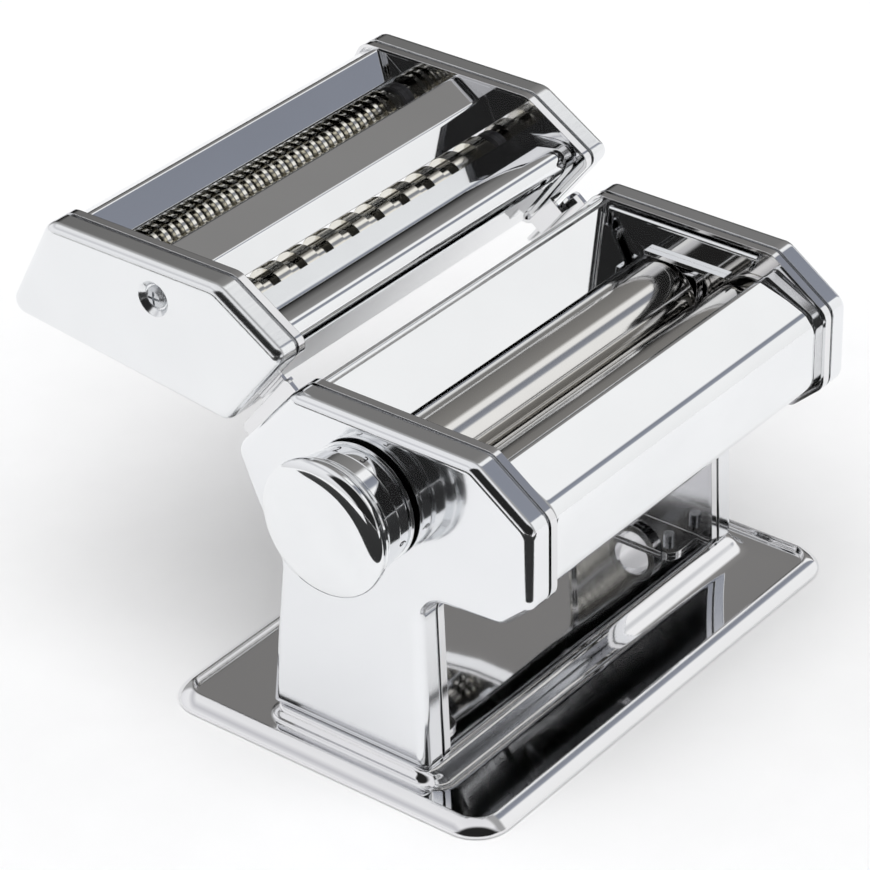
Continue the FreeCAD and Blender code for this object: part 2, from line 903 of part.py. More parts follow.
def cutter_left_plate():
    return mirrored(cutter_plate())


def cutter_cover():
    """Cutter side cover with a dimpled screw seat and a post to the plate."""
    cover = side_cover(cutter_outline)
    post = rod(3.6, plate_face, cover_inside, screw_y, screw_z)
    seat = rod(7.4, cover_inside - 2.0, cover_inside + 0.1, screw_y, screw_z)
    cover = joined([cover, post, seat])
    at = Vector(cover_face - dimple_depth, screw_y, screw_z)
    dimple = Part.makeCone(4.4, 6.2, dimple_depth + 0.1, at, Vector(1, 0, 0))
    return through(cover.cut(dimple), 1.9, screw_y, screw_z)


def cutter_left_cover():
    return mirrored(cutter_cover())


def cutter_right_cover():
    cover = cutter_cover()
    cover = through(cover, 6.0, wide_front_y, wide_axle_z, cover_inside - lap)
    return through(cover, 6.0, fine_rear_y, fine_axle_z, cover_inside - lap)


def cutter_cover_screws():
    seat = cover_face - dimple_depth
    head = turned(
        [(seat, 0), (seat, 3.9), (seat + 0.9, 3.7), (seat + 1.6, 2.4), (seat + 1.8, 0)],
        screw_y,
        screw_z,
    )
    long_slot = box(seat + 0.7, seat + 3, screw_y - 2.3, screw_y + 2.3, screw_z - 0.4, screw_z + 0.4)
    cross_slot = box(seat + 0.7, seat + 3, screw_y - 0.4, screw_y + 0.4, screw_z - 2.3, screw_z + 2.3)
    shank = rod(1.8, plate_face, seat, screw_y, screw_z)
    screw = head.fuse(shank).cut(long_slot.fuse(cross_slot))
    return Part.makeCompound([mirrored(screw), screw])


def cutter_back_panel():
    path = [
        (127.5, 120.9, 0),
        (133.0, 121.9, 3.0),
        (114.6, 154.7, 3.0),
        (109.2, 157.0, 1.8),
        (99.8, 149.8, 0),
    ]
    return notched(bent_sheet(path), cutter_outline)


def cutter_middle_panel():
    return bent_sheet([
        (84.5, 146.5, 0),
        (76.5, 155.6, 1.6),
        (63.2, 151.5, 2.0),
        (59.6, 142.8, 0),
    ])


def cutter_front_panel():
    low = rail_point(6.5, hook_out + 1.7)
    nose = rail_point(38.5, hook_out + 2.9)
    shelf_z = wide_axle_z + disc_r + 4.2
    return bent_sheet([
        (wide_front_y + 0.7, shelf_z - 0.1, 0),
        (wide_front_y - 15.8, shelf_z, 2.0),
        nose + (2.5,),
        low + (2.5,),
        (low[0] + 4.5, low[1] - 0.6, 0),
    ])


def cutter_tie_rods():
    rods = []
    for y, z in ((34.5, 134.0), (74.0, 149.0), (121.5, 128.5)):
        rods.append(rod(2.5, -plate_inner, plate_inner, y, z))
    return Part.makeCompound(rods)


def cutter_bushes():
    bushes = []
    for y, z in cutter_axes():
        bore = cutter_journal_r + hair
        sleeve = tube(cutter_bush_r, bore, core_half + air, plate_face + 0.8, y, z)
        bushes += [mirrored(sleeve), sleeve]
    return Part.makeCompound(bushes)


def cutter_shaft(y, z, driven):
    """Shaft of one cutting roller; a driven one ends in a socket for the crank."""
    gear_end = gear_start + cutter_gear_width + 0.4
    right_end = drive_end if driven else gear_end
    return rod(cutter_journal_r, -plate_face - 1.2, right_end, y, z)


def disc_row(y, z, pitch, disc, count, sides):
    """Row of many-sided cutting discs on a common core, centred on x = 0."""
    discs = [many_sided(sides, disc_root_r, -core_half, core_half, y, z)]
    start = -(count - 1) * pitch / 2
    for i in range(count):
        x = start + i * pitch
        discs.append(many_sided(sides, disc_r, x - disc / 2, x + disc / 2, y, z))
    return discs


def cutter_roller(y, z, pitch, disc, count, sides, driven):
    roller = cutter_shaft(y, z, driven).multiFuse(disc_row(y, z, pitch, disc, count, sides))
    if driven:
        socket = rod(crank_bore_r, drive_end - crank_bore_depth, drive_end + lap, y, z)
        roller = roller.cut(socket)
    return roller.removeSplitter()


def fine_roller(y, count, driven):
    return cutter_roller(y, fine_axle_z, fine_pitch, fine_disc, count, fine_sides, driven)


def wide_roller(y, count, driven):
    return cutter_roller(y, wide_axle_z, wide_pitch, wide_disc, count, wide_sides, driven)


def fine_front_roller():
    return fine_roller(fine_front_y, fine_count - 1, False)


def fine_rear_roller():
    return fine_roller(fine_rear_y, fine_count, True)


def wide_front_roller():
    return wide_roller(wide_front_y, wide_count - 1, True)


def wide_rear_roller():
    return wide_roller(wide_rear_y, wide_count, False)


def cutter_gear(y, z, turn):
    x1 = gear_start + cutter_gear_width
    halves = math.radians(8.4), math.radians(3.6)
    wheel = gear(cutter_gear_root, cutter_gear_tip, *halves, gear_start, x1, y, z, turn)
    return wheel.cut(rod(cutter_journal_r, gear_start - lap, x1 + lap, y, z))


def comb(y, axle, lean, pitch, disc, count):
    """Stripper: a strip with one finger in each gap between the discs."""
    tip_z = axle - disc_root_r - 0.4
    root_z = tip_z - comb_finger
    foot_z = root_z - comb_strip
    half = (pitch - disc) / 2 - air
    points = [(-core_half, foot_z), (-core_half, root_z)]
    start = -(count - 1) * pitch / 2
    for i in range(count):
        x = start + i * pitch
        points += [(x - half, root_z), (x - half, tip_z), (x + half, tip_z), (x + half, root_z)]
    points += [(core_half, root_z), (core_half, foot_z)]
    face = Part.Face(Part.makePolygon([Vector(x, y, h) for x, h in points + points[:1]]))
    face.translate(Vector(0, -comb_gauge / 2, 0))
    strip = face.extrude(Vector(0, comb_gauge, 0))
    arm = box(core_half - 1, plate_inner, y - 1.9, y + 1.9, foot_z, root_z)
    strip = joined([strip, mirrored(arm), arm])
    strip.rotate(Vector(0, y, tip_z), Vector(1, 0, 0), lean)
    return strip


comb_gauge = 0.8
comb_finger = 4.0
comb_strip = 3.5
comb_lean = 12.0


def comb_pair(front_y, rear_y, axle, pitch, disc, count):
    """A comb under each row; its fingers stand in the gaps of that row."""
    front = comb(front_y, axle, -comb_lean, pitch, disc, count - 2)
    rear = comb(rear_y, axle, comb_lean, pitch, disc, count - 1)
    return Part.makeCompound([front, rear])


def fine_combs():
    return comb_pair(fine_front_y, fine_rear_y, fine_axle_z, fine_pitch, fine_disc, fine_count)


def wide_combs():
    return comb_pair(wide_front_y, wide_rear_y, wide_axle_z, wide_pitch, wide_disc, wide_count)


def wide_front_gear():
    return cutter_gear(wide_front_y, wide_axle_z, 0.0)


def wide_rear_gear():
    return cutter_gear(wide_rear_y, wide_axle_z, math.pi / gear_teeth)


def fine_front_gear():
    return cutter_gear(fine_front_y, fine_axle_z, 0.0)


def fine_rear_gear():
    return cutter_gear(fine_rear_y, fine_axle_z, math.pi / gear_teeth)


# ---- assembly ----
def middle_of_box():
    """Shift that brings the middle of the whole machine's box to x = y = 0."""
    back_corner = inset(cutter_outline, cutter_outline[3][2])[3]
    y_max = back_corner[0] + cutter_outline[3][2]
    y_min = body_outline[2][0]
    return Vector((knob_front - base_half_x) / 2, -(y_max + y_min) / 2, 0)


makers = [
    base_plate,
    rubber_feet,
    base_screws,
    left_frame_plate,
    right_frame_plate,
    left_side_cover,
    right_side_cover,
    clamp_tube,
    dial_bush,
    front_cover,
    hopper_back_panel,
    rear_cover,
    left_hopper_guard,
    right_hopper_guard,
    tie_rods,
    front_scraper,
    drive_roller,
    drive_gear,
    drive_bushes,
    adjustable_roller,
    adjustable_gear,
    adjustable_scraper,
    left_yoke,
    right_yoke,
    dial_shaft,
    knob_body,
    knob_front_disc,
    number_ring,
    cutter_left_plate,
    cutter_right_plate,
    cutter_left_cover,
    cutter_right_cover,
    cutter_cover_screws,
    cutter_back_panel,
    cutter_middle_panel,
    cutter_front_panel,
    cutter_tie_rods,
    cutter_bushes,
    fine_combs,
    wide_combs,
    wide_front_roller,
    wide_rear_roller,
    fine_front_roller,
    fine_rear_roller,
    wide_front_gear,
    wide_rear_gear,
    fine_front_gear,
    fine_rear_gear,
]


def place(shape, name):
    placed = shape.copy()
    placed.translate(middle_of_box())
    if not placed.isValid():
        raise ValueError(name + " is not a valid shape")
    placed.exportStep("parts/" + name + ".step")


os.makedirs("parts", exist_ok=True)
for maker in makers:
    place(maker(), maker.__name__)
    print(maker.__name__)
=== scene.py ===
import bpy
import json
import math
import numpy as np
from mathutils import Matrix, Vector


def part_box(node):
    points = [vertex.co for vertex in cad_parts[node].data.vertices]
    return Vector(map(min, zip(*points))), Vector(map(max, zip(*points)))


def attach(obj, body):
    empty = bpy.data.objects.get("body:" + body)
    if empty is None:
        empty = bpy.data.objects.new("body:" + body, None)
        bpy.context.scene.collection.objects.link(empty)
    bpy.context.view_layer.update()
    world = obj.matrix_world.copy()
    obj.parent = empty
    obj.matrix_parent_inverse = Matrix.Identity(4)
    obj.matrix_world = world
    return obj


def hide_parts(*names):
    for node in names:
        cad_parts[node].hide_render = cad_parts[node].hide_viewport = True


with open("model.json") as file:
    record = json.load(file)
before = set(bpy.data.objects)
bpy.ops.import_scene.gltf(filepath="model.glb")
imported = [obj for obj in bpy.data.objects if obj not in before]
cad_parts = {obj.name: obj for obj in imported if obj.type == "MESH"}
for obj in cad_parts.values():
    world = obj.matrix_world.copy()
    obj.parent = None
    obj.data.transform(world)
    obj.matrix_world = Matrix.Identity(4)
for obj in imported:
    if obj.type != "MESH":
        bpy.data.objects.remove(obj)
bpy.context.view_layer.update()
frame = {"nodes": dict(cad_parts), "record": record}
print("frame loaded:", len(frame["nodes"]), "nodes")

mm = 0.001
slotOf = {part["node"]: part["material_slot"] for part in frame["record"]["subparts"]}
bodyOf = {node: body for body, nodes in frame["record"]["behaviour"]["bodies"].items() for node in nodes}


class Wire:
    # a socket that takes part in sums; each operator adds one Math node
    def __init__(self, shade, socket):
        self.shade = shade
        self.socket = socket

    def __add__(self, other):
        return self.shade.maths("ADD", self, other)

    def __radd__(self, other):
        return self.shade.maths("ADD", other, self)

    def __sub__(self, other):
        return self.shade.maths("SUBTRACT", self, other)

    def __rsub__(self, other):
        return self.shade.maths("SUBTRACT", other, self)

    def __mul__(self, other):
        return self.shade.maths("MULTIPLY", self, other)

    def __rmul__(self, other):
        return self.shade.maths("MULTIPLY", other, self)

    def __truediv__(self, other):
        return self.shade.maths("DIVIDE", self, other)

    def __rtruediv__(self, other):
        return self.shade.maths("DIVIDE", other, self)

    def __pow__(self, other):
        return self.shade.maths("POWER", self, other)

    def __rpow__(self, other):
        return self.shade.maths("POWER", other, self)


class Shade:
    # a node tree being filled: a material's by name, or the world's
    def __init__(self, name, world=None):
        self.material = None if world else bpy.data.materials.new(name)
        owner = world or self.material
        owner.use_nodes = True
        self.tree = owner.node_tree
        self.tree.nodes.clear()
        self.output = self.tree.nodes.new("ShaderNodeOutputWorld" if world else "ShaderNodeOutputMaterial")
        self.place = self.node("ShaderNodeTexCoord", out="Generated" if world else "Object")

    def join(self, value, socket):
        if isinstance(value, Wire):
            self.tree.links.new(value.socket, socket)
        else:
            socket.default_value = value

    def node(self, kind, settings=None, sockets=None, out=0):
        made = self.tree.nodes.new(kind)
        for key, value in (settings or {}).items():
            if key == "stops":
                self.setStops(made.color_ramp, value)
            else:
                setattr(made, key, value)
        for key, value in (sockets or {}).items():
            self.join(value, made.inputs[key])
        return Wire(self, made.outputs[out])

    def setStops(self, ramp, stops):
        while len(ramp.elements) > 1:
            ramp.elements.remove(ramp.elements[-1])
        for i, (where, colour) in enumerate(stops):
            stop = ramp.elements[0] if i == 0 else ramp.elements.new(where)
            stop.position = where
            stop.color = colour

    def maths(self, operation, first, second=0.0):
        return self.node("ShaderNodeMath", {"operation": operation}, {0: first, 1: second})

    def axes(self):
        made = self.node("ShaderNodeSeparateXYZ", None, {0: self.place}).socket.node
        return [Wire(self, output) for output in made.outputs]

    def vector(self, x, y, z):
        return self.node("ShaderNodeCombineXYZ", None, {0: x, 1: y, 2: z})

    def stretched(self, scale):
        return self.node("ShaderNodeMapping", None, {"Vector": self.place, "Scale": scale})

    def noise(self, scale, detail, where=None):
        sockets = {"Vector": where or self.place, "Scale": scale, "Detail": detail}
        return self.node("ShaderNodeTexNoise", None, sockets)

    def ramp(self, share, stops):
        return self.node("ShaderNodeValToRGB", {"stops": stops}, {"Fac": share})

    def smooth(self, value, low, high):
        # 0 below low, 1 above high, eased between
        settings = {"interpolation_type": "SMOOTHSTEP"}
        return self.node("ShaderNodeMapRange", settings, {"Value": value, "From Min": low, "From Max": high})

    def mixed(self, share, first, second):
        # the Mix node's colour sockets: factor 0, colours 6 and 7, result 2
        return self.node("ShaderNodeMix", {"data_type": "RGBA"}, {0: share, 6: first, 7: second}, out=2)

    def bump(self, height, distance, strength=1.0, normal=None):
        sockets = {"Height": height, "Distance": distance, "Strength": strength}
        if normal is not None:
            sockets["Normal"] = normal
        return self.node("ShaderNodeBump", None, sockets)

    def roundedEdges(self, radius):
        return self.node("ShaderNodeBevel", {"samples": 6}, {"Radius": radius})

    def finish(self, sockets):
        self.join(self.node("ShaderNodeBsdfPrincipled", None, sockets), self.output.inputs[0])
        return self.material


def rgb(r, g, b):
    return (r, g, b, 1.0)


def grey(level):
    return rgb(level, level, level)


# plated steel: smudged gloss, faint drawing lines, and the slow waves of pressed metal
chromeLooks = {
    "coverChrome": {
        "dark": rgb(0.80, 0.81, 0.83), "light": rgb(0.88, 0.89, 0.90), "smudgeScale": 12.0,
        "smudge": 0.08, "rough": 0.10, "lines": (600.0, 20.0, 400.0), "lineDepth": 0.000006,
        "waveScale": 16.0, "waveDepth": 0.0005, "edge": 0.0005,
    },
    "cutterChrome": {
        "dark": rgb(0.80, 0.81, 0.82), "light": rgb(0.88, 0.89, 0.90), "smudgeScale": 40.0,
        "smudge": 0.12, "rough": 0.17, "lines": (100.0, 14.0, 900.0), "lineDepth": 0.000020,
        "waveScale": 20.0, "waveDepth": 0.0004, "edge": 0.0005,
    },
    "sheetChrome": {
        "dark": rgb(0.82, 0.83, 0.84), "light": rgb(0.89, 0.90, 0.91), "smudgeScale": 30.0,
        "smudge": 0.03, "rough": 0.045, "lines": (8.0, 700.0, 700.0), "lineDepth": 0.000002,
        "waveScale": 12.0, "waveDepth": 0.0002, "edge": 0.0003,
    },
    "baseChrome": {
        "dark": rgb(0.79, 0.79, 0.80), "light": rgb(0.87, 0.87, 0.88), "smudgeScale": 18.0,
        "smudge": 0.03, "rough": 0.04, "lines": (40.0, 500.0, 40.0), "lineDepth": 0.000002,
        "waveScale": 18.0, "waveDepth": 0.0004, "edge": 0.0008,
    },
    "frameChrome": {
        "dark": rgb(0.75, 0.75, 0.76), "light": rgb(0.83, 0.83, 0.84), "smudgeScale": 26.0,
        "smudge": 0.05, "rough": 0.07, "lines": (300.0, 60.0, 60.0), "lineDepth": 0.000003,
        "waveScale": 14.0, "waveDepth": 0.0004, "edge": 0.0003,
    },
    "knobChrome": {
        "dark": rgb(0.81, 0.82, 0.83), "light": rgb(0.89, 0.90, 0.91), "smudgeScale": 40.0,
        "smudge": 0.04, "rough": 0.06, "lines": (800.0, 40.0, 40.0), "lineDepth": 0.000002,
        "waveScale": 30.0, "waveDepth": 0.0002, "edge": 0.0003,
    },
    "gearSteel": {
        "dark": rgb(0.38, 0.37, 0.35), "light": rgb(0.56, 0.55, 0.53), "smudgeScale": 60.0,
        "smudge": 0.20, "rough": 0.34, "lines": (90.0, 700.0, 700.0), "lineDepth": 0.00001,
        "waveScale": 60.0, "waveDepth": 0.0001, "edge": 0.0002,
    },
    "zincPlate": {
        "dark": rgb(0.50, 0.52, 0.55), "light": rgb(0.68, 0.69, 0.70), "smudgeScale": 80.0,
        "smudge": 0.18, "rough": 0.26, "lines": (500.0, 500.0, 500.0), "lineDepth": 0.000006,
        "waveScale": 60.0, "waveDepth": 0.0001, "edge": 0.0002,
    },
}


def chromeMaterial(name, look):
    # roughness = rough + smudge * (noise - 0.5); the lines' bump lies on the waves' bump
    shade = Shade(name)
    smudge = shade.noise(look["smudgeScale"], detail=5.0)
    lines = shade.noise(1.0, detail=2.0, where=shade.stretched(look["lines"]))
    colour = shade.mixed(smudge, look["dark"], look["light"])
    rough = look["rough"] + look["smudge"] * (smudge - 0.5)
    slow = shade.noise(look["waveScale"], detail=0.0)
    waves = shade.bump(slow, look["waveDepth"], normal=shade.roundedEdges(look["edge"]))
    normal = shade.bump(lines, look["lineDepth"], normal=waves)
    return shade.finish({"Base Color": colour, "Metallic": 1.0, "Roughness": rough, "Normal": normal})


# what isn't metal: a cloud of (scale, detail) for colour and gloss, and a grain where there is one
dullLooks = {
    "bushPlastic": {
        "dark": rgb(0.72, 0.70, 0.64), "light": rgb(0.83, 0.81, 0.75), "cloud": (60.0, 3.0),
        "rough": 0.42, "roughMore": 0.15, "grain": (900.0, 3.0), "depth": 0.00002, "strength": 0.6,
    },
    "footRubber": {
        "dark": rgb(0.018, 0.018, 0.019), "light": rgb(0.045, 0.045, 0.047), "cloud": (90.0, 4.0),
        "rough": 0.62, "roughMore": 0.20, "grain": (1400.0, 4.0), "depth": 0.00005, "strength": 0.8,
    },
    "darkBush": {
        "dark": rgb(0.020, 0.020, 0.022), "light": rgb(0.060, 0.060, 0.064), "cloud": (500.0, 3.0),
        "rough": 0.30, "roughMore": 0.15,
    },
    "numberInk": {
        "dark": rgb(0.010, 0.010, 0.011), "light": rgb(0.030, 0.030, 0.032), "cloud": (700.0, 4.0),
        "rough": 0.50, "roughMore": 0.20,
    },
}


def dullMaterial(name, look):
    # roughness = rough + roughMore * cloud
    shade = Shade(name)
    cloud = shade.noise(*look["cloud"])
    colour = shade.mixed(cloud, look["dark"], look["light"])
    sockets = {"Base Color": colour, "Roughness": look["rough"] + look["roughMore"] * cloud}
    if "grain" in look:
        sockets["Normal"] = shade.bump(shade.noise(*look["grain"]), look["depth"], look["strength"])
    return shade.finish(sockets)


turnedLooks = {
    "rollerSteel": {
        "dark": rgb(0.72, 0.71, 0.69), "light": rgb(0.82, 0.81, 0.79), "smudgeScale": 35.0,
        "smudge": 0.05, "rough": 0.10, "marks": 2600.0, "markDepth": 0.000004,
    },
    "cutterSteel": {
        "dark": rgb(0.70, 0.68, 0.62), "light": rgb(0.88, 0.86, 0.80), "smudgeScale": 70.0,
        "smudge": 0.06, "rough": 0.12, "marks": 3800.0, "markDepth": 0.000006,
    },
}


def turnedSteel(name, look, axis):
    # lathe marks are noise over the place along the axis and the distance from it
    shade = Shade(name)
    x, y, z = shade.axes()
    radius = ((y - axis[1]) ** 2.0 + (z - axis[2]) ** 2.0) ** 0.5
    marks = shade.noise(look["marks"], detail=2.0, where=shade.vector(x, radius, 0.0))
    smudge = shade.noise(look["smudgeScale"], detail=5.0)
    colour = shade.mixed(smudge, look["dark"], look["light"])
    rough = look["rough"] + look["smudge"] * (smudge - 0.5)
    normal = shade.bump(marks, look["markDepth"])
    return shade.finish({"Base Color": colour, "Metallic": 1.0, "Roughness": rough, "Normal": normal})


materials = {name: chromeMaterial(name, look) for name, look in chromeLooks.items()}
materials.update({name: dullMaterial(name, look) for name, look in dullLooks.items()})

slotFinish = {
    "chrome_cover": "coverChrome",
    "chrome_base": "baseChrome",
    "plated_frame": "frameChrome",
    "roller_steel": "zincPlate",
    "gear_steel": "gearSteel",
    "zinc_fixings": "zincPlate",
    "bearing_plastic": "bushPlastic",
    "knob_chrome": "knobChrome",
    "foot_rubber": "footRubber",
}
# nodes whose finish differs from their slot's
nodeFinish = {
    "front_cover": "sheetChrome",
    "rear_cover": "sheetChrome",
    "hopper_back_panel": "sheetChrome",
    "left_hopper_guard": "sheetChrome",
    "right_hopper_guard": "sheetChrome",
    "cutter_back_panel": "sheetChrome",
    "cutter_middle_panel": "sheetChrome",
    "cutter_front_panel": "sheetChrome",
    "cutter_left_cover": "cutterChrome",
    "cutter_right_cover": "cutterChrome",
    "cutter_bushes": "darkBush",
}
for nodeName, cadObject in frame["nodes"].items():
    finish = nodeFinish.get(nodeName, slotFinish[slotOf[nodeName]])
    for place in cadObject.material_slots:
        place.material = materials[finish]
print("materials:", len(materials))


def centreOf(node):
    low, high = np.array(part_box(node))
    return (low + high) / 2


def reachOf(node):
    # a turned node's outer radius is half its height
    low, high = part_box(node)
    return (high[2] - low[2]) / 2


def gridFaces(rows, columns, loopRows=False, loopColumns=True):
    # one face per cell, from this row and column to the next; a loop joins the last to the first
    row = np.arange(rows if loopRows else rows - 1)[:, None]
    column = np.arange(columns if loopColumns else columns - 1)[None, :]
    nextRow, nextColumn = (row + 1) % rows, (column + 1) % columns
    corners = [(row, column), (row, nextColumn), (nextRow, nextColumn), (nextRow, column)]
    return np.stack([r * columns + c for r, c in corners], axis=-1).reshape(-1, 4).tolist()


def meshPiece(name, verts, faces, material, crease=28.0):
    mesh = bpy.data.meshes.new(name)
    mesh.from_pydata(verts.tolist(), [], faces)
    mesh.shade_smooth()
    mesh.set_sharp_from_angle(angle=math.radians(crease))
    mesh.materials.append(material)
    piece = bpy.data.objects.new(name, mesh)
    bpy.context.scene.collection.objects.link(piece)
    return piece


def thicken(piece, wall):
    # the wall goes inwards from the outer face
    sheet = piece.modifiers.new("sheet", "SOLIDIFY")
    sheet.thickness = wall
    sheet.offset = -1


def standIn(piece, node):
    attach(piece, bodyOf[node])
    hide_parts(node)


# turned pieces stand in for the coarser CAD rollers and knob
def turnedPiece(name, node, profile, material, columns, closed=False):
    # profile rows (x, radius) by angle columns: y = centre + radius * sin, z = centre + radius * cos
    centre = centreOf(node)
    along, radius = np.array(profile).T
    turn = np.linspace(0, 2 * np.pi, columns, endpoint=False)
    x = np.repeat(along[:, None], columns, axis=1)
    y = centre[1] + radius[:, None] * np.sin(turn)[None, :]
    z = centre[2] + radius[:, None] * np.cos(turn)[None, :]
    verts = np.stack([x, y, z], axis=-1).reshape(-1, 3)
    faces = gridFaces(len(along), columns, loopRows=closed)
    if not closed:
        last = (len(along) - 1) * columns
        faces += [list(range(columns - 1, -1, -1)), list(range(last, last + columns))]
    standIn(meshPiece(name, verts, faces, material), node)


def profileRows(start, reach, steps):
    # each step is in millimetres: along from start, inwards from reach
    along, inwards = np.array(steps).T * mm
    return np.stack([start + along, reach - inwards], axis=-1)


# the crank plugs into the right ends of these
socketLook = {
    "nodes": ("drive_roller", "wide_front_roller", "fine_rear_roller"), "bore": 4.1 * mm, "depth": 16 * mm,
}


def shaftEnds(node, neck, chamfer):
    # first and last rows of a turned shaft; one with a socket goes on into its bore
    low, high = (corner[0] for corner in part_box(node))
    left = [(low, neck - chamfer), (low + chamfer, neck)]
    right = [(high - chamfer, neck), (high, neck - chamfer)]
    if node in socketLook["nodes"]:
        right += [(high, socketLook["bore"]), (high - socketLook["depth"], socketLook["bore"])]
    return left, right


middle = (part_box("left_frame_plate")[0][0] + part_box("right_frame_plate")[1][0]) / 2

rollerLook = {
    "half": 71.6 * mm, "neck": 6 * mm, "round": 0.6 * mm, "roundRows": 5, "columns": 128,
    "groove": 0.5 * mm, "grooveAt": (2.0 * mm, 2.8 * mm),
}


def smoothRoller(name, node):
    # each end: x = half - round * (1 - cos), radius = reach - round * (1 - sin), then a groove
    reach = reachOf(node)
    half, neck, soft = rollerLook["half"], rollerLook["neck"], rollerLook["round"]
    near, far = rollerLook["grooveAt"]
    dip = reach - rollerLook["groove"]
    turn = np.linspace(0, np.pi / 2, rollerLook["roundRows"])
    edge = np.stack([half - soft * (1 - np.cos(turn)), reach - soft * (1 - np.sin(turn))], axis=-1)
    groove = [(half - near, reach), (half - near, dip), (half - far, dip), (half - far, reach)]
    side = np.concatenate([[(half, neck)], edge, groove])
    left, right = shaftEnds(node, neck, soft)
    profile = np.concatenate([left, side * (-1, 1) + (middle, 0), side[::-1] + (middle, 0), right])
    steel = turnedSteel(name + "Steel", turnedLooks["rollerSteel"], centreOf(node))
    turnedPiece(name, node, profile, steel, rollerLook["columns"])


smoothRoller("frontRoller", "drive_roller")
smoothRoller("rearRoller", "adjustable_roller")

rowLooks = {
    "wideFrontRow": {"node": "wide_front_roller", "pitch": 13.3 * mm, "disc": 6.35 * mm, "count": 10},
    "wideRearRow": {"node": "wide_rear_roller", "pitch": 13.3 * mm, "disc": 6.35 * mm, "count": 11},
    "fineFrontRow": {"node": "fine_front_roller", "pitch": 4.2 * mm, "disc": 1.8 * mm, "count": 32},
    "fineRearRow": {"node": "fine_rear_roller", "pitch": 4.2 * mm, "disc": 1.8 * mm, "count": 33},
}
discLook = {
    "root": 5.8 * mm, "neck": 5.5 * mm, "core": 72.6 * mm, "corner": 0.15 * mm, "chamfer": 0.4 * mm,
    "columns": 64,
}


def cutterRow(name, row):
    # each disc is the same six rows, moved along by the pitch
    reach = reachOf(row["node"])
    half, corner, root = row["disc"] / 2, discLook["corner"], discLook["root"]
    one = np.array([
        (-half, root), (-half, reach - corner), (-half + corner, reach),
        (half - corner, reach), (half, reach - corner), (half, root),
    ])
    starts = (np.arange(row["count"]) - (row["count"] - 1) / 2) * row["pitch"]
    discs = np.repeat(one[None, :, :], row["count"], axis=0)
    discs[:, :, 0] += starts[:, None]
    core, neck = discLook["core"], discLook["neck"]
    shoulder = np.array([(core, root), (core, neck)])
    body = np.concatenate([shoulder[::-1] * (-1, 1), discs.reshape(-1, 2), shoulder])
    left, right = shaftEnds(row["node"], neck, discLook["chamfer"])
    profile = np.concatenate([left, body + (middle, 0), right])
    steel = turnedSteel(name + "Steel", turnedLooks["cutterSteel"], centreOf(row["node"]))
    turnedPiece(name, row["node"], profile, steel, discLook["columns"])


for rowName, row in rowLooks.items():
    cutterRow(rowName, row)
print("rollers:", 2 + len(rowLooks))

knobLook = {"neck": 12.0 * mm, "columns": 160}


def knobPiece(name, node, profile, closed=False):
    turnedPiece(name, node, profile, materials["knobChrome"], knobLook["columns"], closed)


crownLook = {
    "edgeDepth": 3.6 * mm, "edgeBreadth": 8.4 * mm, "bulge": 0.5 * mm, "rows": 40, "firstTurn": 0.02,
    "skirt": ((0.8, 0.0), (1.1, 0.25), (1.3, 0.7)), "tail": 2.2 * mm,
}


def knobFront():
    # drop = bulge * (r / reach)^2 + (edgeDepth - bulge) * (1 - sqrt(1 - s^2)), s 0..1 over the edge
    low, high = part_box("knob_front_disc")
    reach = reachOf("knob_front_disc")
    bulge, depth, breadth = crownLook["bulge"], crownLook["edgeDepth"], crownLook["edgeBreadth"]
    radius = reach * np.sin(np.linspace(crownLook["firstTurn"], np.pi / 2, crownLook["rows"]))
    edge = np.clip((radius - reach + breadth) / breadth, 0, 1)
    drop = bulge * (radius / reach) ** 2 + (depth - bulge) * (1 - np.sqrt(1 - edge ** 2))
    face = np.stack([low[0] + drop, radius], axis=-1)
    skirt = profileRows(low[0] + depth, reach, crownLook["skirt"])
    tail = [(high[0], reach - crownLook["tail"])]
    knobPiece("knobFront", "knob_front_disc", np.concatenate([face, skirt, tail]))


waistLook = {
    "depth": 1.8 * mm, "tip": 0.7 * mm,
    "flange": ((0.0, 1.4), (0.5, 0.2), (1.2, 0.0), (1.9, 0.3), (2.6, 1.7)),
    "groove": ((3.1, 2.6), (3.8, 2.6), (4.2, 1.8)),
}


def knobWaist():
    # a rounded flange and a groove, the straight waist up to the number ring, and the neck inside it
    low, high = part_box("knob_body")
    reach = reachOf("knob_body")
    waist, neck, tip = reach - waistLook["depth"], knobLook["neck"], waistLook["tip"]
    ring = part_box("number_ring")[0][0]
    inner = [(ring - tip, waist), (ring, waist - tip), (ring, neck), (high[0], neck)]
    outer = profileRows(low[0], reach, waistLook["flange"] + waistLook["groove"])
    knobPiece("knobWaist", "knob_body", np.concatenate([outer, inner]))


bandLook = {
    "inset": 0.5 * mm, "frontEdge": ((0.0, 0.7), (0.2, 0.2), (0.5, 0.0)),
    "groove": ((-2.2, 0.0), (-1.9, 1.0), (-1.4, 1.0)), "flange": ((-1.2, 0.0), (0.0, 0.0)),
}


def numberBand():
    # a closed ring: neck, rounded front edge, the band itself, a groove, the rear flange, neck
    low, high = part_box("number_ring")
    reach, neck = reachOf("number_ring"), knobLook["neck"]
    band = reach - bandLook["inset"]
    front = profileRows(low[0], band, bandLook["frontEdge"])
    groove = profileRows(high[0], band, bandLook["groove"])
    flange = profileRows(high[0], reach, bandLook["flange"])
    profile = np.concatenate([[(low[0], neck)], front, groove, flange, [(high[0], neck)]])
    knobPiece("numberBand", "number_ring", profile, closed=True)
    return front[-1, 0], groove[0, 0], band


knobFront()
knobWaist()
bandLow, bandHigh, bandRadius = numberBand()

figureLook = {
    "last": 6, "height": 3.1 * mm, "heightPerSize": 0.7, "depth": 0.06 * mm, "start": -75.0, "step": 30.0,
    "smoothness": 4,
}


